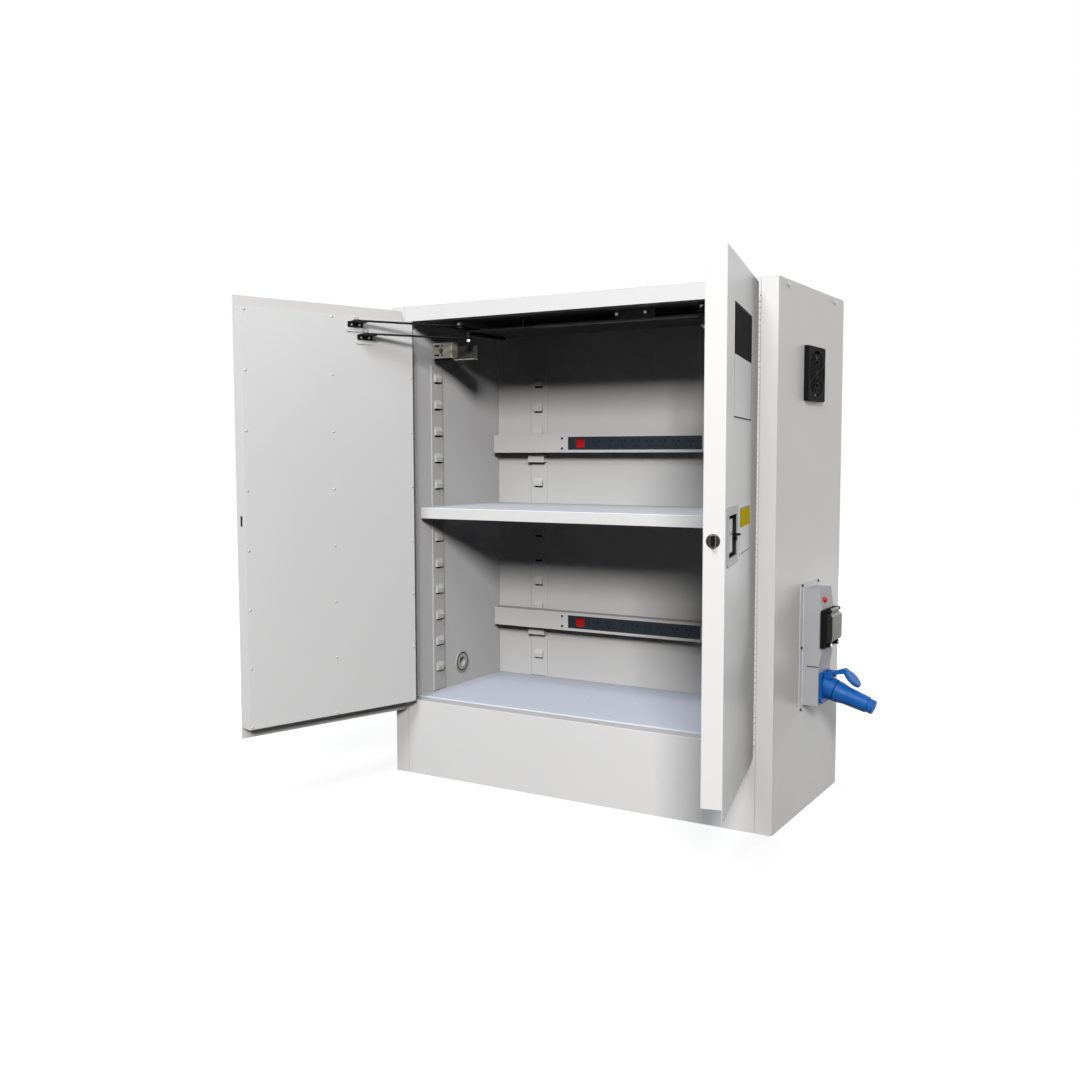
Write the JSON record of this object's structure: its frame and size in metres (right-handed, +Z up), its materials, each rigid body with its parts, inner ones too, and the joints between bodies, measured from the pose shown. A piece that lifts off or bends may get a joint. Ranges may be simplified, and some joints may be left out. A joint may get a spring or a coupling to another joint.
{
  "type": "battery cabinet",
  "caption": "Upright double-walled safety cabinet with two swing doors on piano hinges, roof closer links, shelf, socket strips, spill sump, side fan and power inlet.",
  "frame": {"origin": "centre of the closed body on its flat underside", "axes": "+X to the right as seen from the doors, +Y to the back, +Z up; the doors rest open as in the picture"},
  "size_m": [1.3794, 1.0219, 1.29],
  "materials": {
    "white_paint": "satin",
    "grey_paint": "satin",
    "steel": "satin",
    "zinc": "satin",
    "black_paint": "satin",
    "black_plastic": "matte",
    "blue_plastic": "semi-gloss",
    "grey_plastic": "matte",
    "white_plastic": "matte",
    "cream_plastic": "matte",
    "red_plastic": "gloss",
    "smoke_plastic": "gloss",
    "chrome_trim": "polished",
    "blank_white": "gloss"
  },
  "bodies": {
    "cabinet": {"side_panel_left": "white_paint", "side_panel_right": "white_paint", "back_panel": "white_paint", "top_panel": "white_paint", "header_rail": "white_paint", "sump_front": "white_paint", "base_pan": "white_paint", "liner_left": "white_paint", "liner_right": "white_paint", "liner_back": "white_paint", "liner_top": "white_paint", "shelf_columns": "white_paint", "wall_hooks": "zinc", "strip_channels": "white_paint", "power_strips": "grey_paint", "closer_plate": "white_paint", "roof_brackets": "white_paint", "switch_body": "cream_plastic", "vent_port": "white_plastic", "fan_guard": "black_plastic", "fan_frame": "black_plastic", "inlet_box": "white_paint", "pilot_lamp": "red_plastic", "breaker_frame": "black_plastic", "inlet_socket": "blue_plastic", "frame_hinge_leaves": "white_paint", "hinge_pins": "zinc", "panel_bolts": "zinc"},
    "door_left": {"door_shell_left": "white_paint", "door_cover_left": "white_paint", "door_rivets_left": "white_paint", "hinge_leaf_left": "white_paint", "link_brackets_left": "black_paint"},
    "door_right": {"door_shell_right": "white_paint", "door_cover_right": "white_paint", "door_rivets_right": "white_paint", "hinge_leaf_right": "white_paint", "link_brackets_right": "black_paint", "handle_cup": "grey_plastic", "latch_rosette": "chrome_trim", "blank_plates": "blank_white"},
    "pull_lever": {"pull_lever": "steel"},
    "lock_cylinder": {"lock_cylinder": "chrome_trim"},
    "latch_bolt": {"latch_bolt": "steel"},
    "closer_crank_left": {"closer_crank_left": "black_paint"},
    "closer_crank_right": {"closer_crank_right": "black_paint"},
    "upper_link_left": {"upper_link_left": "black_paint"},
    "lower_link_left": {"lower_link_left": "black_paint"},
    "upper_link_right": {"upper_link_right": "black_paint"},
    "lower_link_right": {"lower_link_right": "black_paint"},
    "spill_tray": {"spill_tray": "white_paint"},
    "shelf": {"shelf": "white_paint"},
    "switch_plunger": {"switch_plunger": "zinc"},
    "rocker_upper": {"rocker_upper": "red_plastic"},
    "rocker_lower": {"rocker_lower": "red_plastic"},
    "fan_rotor": {"fan_rotor": "black_plastic"},
    "breaker_toggle": {"breaker_toggle": "black_plastic"},
    "breaker_cover": {"breaker_cover": "smoke_plastic"},
    "inlet_lid": {"inlet_lid": "blue_plastic"},
    "plug": {"plug": "blue_plastic"}
  },
  "joints": [
    {"name": "door_left_swing", "type": "hinge", "parent": "cabinet", "child": "door_left", "pos_m": [-0.506, -0.2596, 0.729], "axis": [0, 0, -1], "range_deg": [-107.3, 0]},
    {"name": "crank_left_turn", "type": "hinge", "parent": "cabinet", "child": "closer_crank_left", "pos_m": [-0.356, -0.0096, 1.222], "axis": [0, 0, -1], "range_deg": [-107.3, 0]},
    {"name": "upper_link_left_pivot", "type": "hinge", "parent": "door_left", "child": "upper_link_left", "pos_m": [-0.50814, -0.45479, 1.2325], "axis": [0, 0, -1], "range_deg": [0, 107.3]},
    {"name": "lower_link_left_pivot", "type": "hinge", "parent": "door_left", "child": "lower_link_left", "pos_m": [-0.49952, -0.42711, 1.201], "axis": [0, 0, -1], "range_deg": [0, 107.3]},
    {"name": "door_right_swing", "type": "hinge", "parent": "cabinet", "child": "door_right", "pos_m": [0.506, -0.2596, 0.729], "axis": [0, 0, 1], "range_deg": [-103.6, 0]},
    {"name": "crank_right_turn", "type": "hinge", "parent": "cabinet", "child": "closer_crank_right", "pos_m": [0.356, -0.0096, 1.222], "axis": [0, 0, 1], "range_deg": [-103.6, 0]},
    {"name": "upper_link_right_pivot", "type": "hinge", "parent": "door_right", "child": "upper_link_right", "pos_m": [0.49554, -0.45452, 1.2325], "axis": [0, 0, 1], "range_deg": [0, 103.6]},
    {"name": "lower_link_right_pivot", "type": "hinge", "parent": "door_right", "child": "lower_link_right", "pos_m": [0.48872, -0.42634, 1.201], "axis": [0, 0, 1], "range_deg": [0, 103.6]},
    {"name": "pull_lever_turn", "type": "hinge", "parent": "door_right", "child": "pull_lever", "pos_m": [0.60015, -0.6998, 0.731], "axis": [0, 0, -1], "range_deg": [0, 30], "stiffness_Nm_per_rad": 0.5, "springref_deg": -5.73},
    {"name": "lock_turn", "type": "hinge", "parent": "door_right", "child": "lock_cylinder", "pos_m": [0.57262, -0.62004, 0.731], "axis": [-0.972, -0.2351, 0], "range_deg": [0, 90]},
    {"name": "latch_bolt_slide", "type": "slide", "parent": "door_right", "child": "latch_bolt", "axis": [-0.2351, 0.972, 0], "range_m": [0, 0.014]},
    {"name": "tray_lift", "type": "slide", "parent": "cabinet", "child": "spill_tray", "axis": [0, 0, 1], "range_m": [0, 0.012]},
    {"name": "shelf_lift", "type": "slide", "parent": "cabinet", "child": "shelf", "axis": [0, 0, 1], "range_m": [0, 0.012]},
    {"name": "switch_press", "type": "slide", "parent": "cabinet", "child": "switch_plunger", "axis": [0, 1, 0], "range_m": [0, 0.003], "stiffness_N_per_m": 300, "springref_m": -0.004},
    {"name": "rocker_upper_tilt", "type": "hinge", "parent": "cabinet", "child": "rocker_upper", "pos_m": [-0.189, 0.1642, 0.921], "axis": [1, 0, 0], "range_deg": [-16, 0]},
    {"name": "rocker_lower_tilt", "type": "hinge", "parent": "cabinet", "child": "rocker_lower", "pos_m": [-0.189, 0.1642, 0.393], "axis": [1, 0, 0], "range_deg": [-16, 0]},
    {"name": "fan_spin", "type": "hinge", "parent": "cabinet", "child": "fan_rotor", "pos_m": [0.5295, -0.002, 1.084], "axis": [1, 0, 0], "continuous": true},
    {"name": "toggle_tilt", "type": "hinge", "parent": "cabinet", "child": "breaker_toggle", "pos_m": [0.596, -0.016, 0.4635], "axis": [0, 1, 0], "range_deg": [0, 50]},
    {"name": "breaker_cover_swing", "type": "hinge", "parent": "cabinet", "child": "breaker_cover", "pos_m": [0.6134, -0.001, 0.507], "axis": [0, -1, 0], "range_deg": [0, 90]},
    {"name": "inlet_lid_swing", "type": "hinge", "parent": "cabinet", "child": "inlet_lid", "pos_m": [0.615, -0.0105, 0.3505], "axis": [0, -1, 0], "range_deg": [0, 60], "stiffness_Nm_per_rad": 0.05, "springref_deg": -28.65},
    {"name": "plug_pull", "type": "slide", "parent": "cabinet", "child": "plug", "axis": [0.9466, 0, -0.3223], "range_m": [0, 0.035]}
  ],
  "couplings": [
    {"joint": "crank_left_turn", "follows": "door_left_swing", "ratio": 1},
    {"joint": "upper_link_left_pivot", "follows": "door_left_swing", "ratio": -1},
    {"joint": "lower_link_left_pivot", "follows": "door_left_swing", "ratio": -1},
    {"joint": "crank_right_turn", "follows": "door_right_swing", "ratio": 1},
    {"joint": "upper_link_right_pivot", "follows": "door_right_swing", "ratio": -1},
    {"joint": "lower_link_right_pivot", "follows": "door_right_swing", "ratio": -1},
    {"joint": "latch_bolt_slide", "follows": "pull_lever_turn", "m_per_rad": 0.0267}
  ]
}
